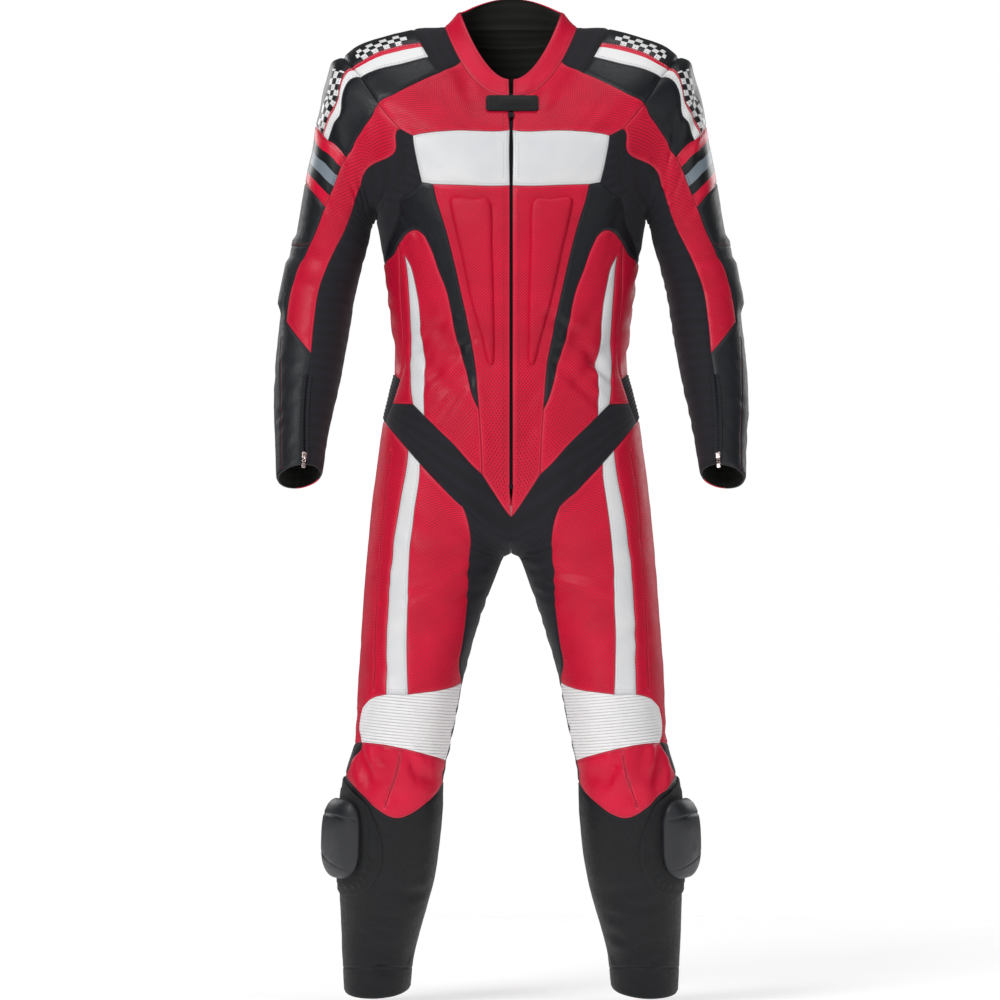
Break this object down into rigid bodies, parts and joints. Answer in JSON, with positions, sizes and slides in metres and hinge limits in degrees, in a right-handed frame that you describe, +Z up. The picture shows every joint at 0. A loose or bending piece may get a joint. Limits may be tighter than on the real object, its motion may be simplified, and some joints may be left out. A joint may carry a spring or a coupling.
{
  "type": "motorcycle race suit",
  "caption": "One-piece leather motorcycle race suit with front zip, stretch inserts, ribbed knees, chest pads and knee pucks, filled out as worn.",
  "frame": {"origin": "on the centre line at the height of the front neck seam, midway between front and back, where the shoulders carry the suit", "axes": "+Z up, -Y the way the wearer faces, +X the wearer's left"},
  "size_m": [0.6932, 0.2637, 1.4769],
  "materials": {
    "red_leather": "smooth and perforated, satin",
    "black_leather": "grained, satin",
    "white_leather": "smooth, satin",
    "black_stretch": "woven, matt",
    "grey_reflective": "reflective band between leather strips",
    "black_pile": "loop pile, matt",
    "hard_plastic": "moulded, matt",
    "zip_metal": "dull"
  },
  "bodies": {
    "suit": {"collar": "red_leather", "neck_gusset": "black_stretch", "waist_rib": "black_stretch", "back_panel": "red_leather", "seat": "black_leather", "front_zip": "zip_metal", "neck_tab": "black_pile", "front_pull": "zip_metal", "yoke_front_left": "red_leather", "yoke_front_right": "red_leather", "shoulder_leather_left": "black_leather", "shoulder_leather_right": "black_leather", "shoulder_stripe_left": "white_leather", "shoulder_stripe_right": "white_leather", "shoulder_check_left": "white_leather", "shoulder_check_right": "white_leather", "chest_band_left": "white_leather", "chest_band_right": "white_leather", "chest_side_left": "black_leather", "chest_side_right": "black_leather", "centre_front_left": "red_leather", "centre_front_right": "red_leather", "side_front_left": "red_leather", "side_front_right": "red_leather", "side_stripe_left": "white_leather", "side_stripe_right": "white_leather", "underarm_stretch_left": "black_stretch", "underarm_stretch_right": "black_stretch", "hip_stretch_left": "black_stretch", "hip_stretch_right": "black_stretch", "sleeve_leather_left": "black_leather", "sleeve_leather_right": "black_leather", "sleeve_band_left": "grey_reflective", "sleeve_band_right": "grey_reflective", "sleeve_front_left": "red_leather", "sleeve_front_right": "red_leather", "sleeve_outer_left": "black_leather", "sleeve_outer_right": "black_leather", "sleeve_back_left": "red_leather", "sleeve_back_right": "red_leather", "cuff_slider_left": "zip_metal", "cuff_slider_right": "zip_metal", "thigh_front_left": "red_leather", "thigh_front_right": "red_leather", "thigh_stripe_left": "white_leather", "thigh_stripe_right": "white_leather", "thigh_side_left": "red_leather", "thigh_side_right": "red_leather", "knee_rib_left": "white_leather", "knee_rib_right": "white_leather", "shin_left": "red_leather", "shin_right": "red_leather", "lower_leg_left": "black_leather", "lower_leg_right": "black_leather", "puck_base_left": "black_pile", "puck_base_right": "black_pile", "puck_left": "hard_plastic", "puck_right": "hard_plastic"},
    "cuff_pull_left": {"cuff_pull_left": "zip_metal"},
    "cuff_pull_right": {"cuff_pull_right": "zip_metal"}
  },
  "joints": [
    {"name": "cuff_pull_hinge_left", "type": "hinge", "parent": "suit", "child": "cuff_pull_left", "pos_m": [0.30067, -0.12449, -0.58801], "axis": [-0.9659, 0.2098, -0.1514], "range_deg": [0, 125]},
    {"name": "cuff_pull_hinge_right", "type": "hinge", "parent": "suit", "child": "cuff_pull_right", "pos_m": [-0.30067, -0.12449, -0.58801], "axis": [-0.9659, -0.2098, 0.1514], "range_deg": [0, 125]}
  ]
}
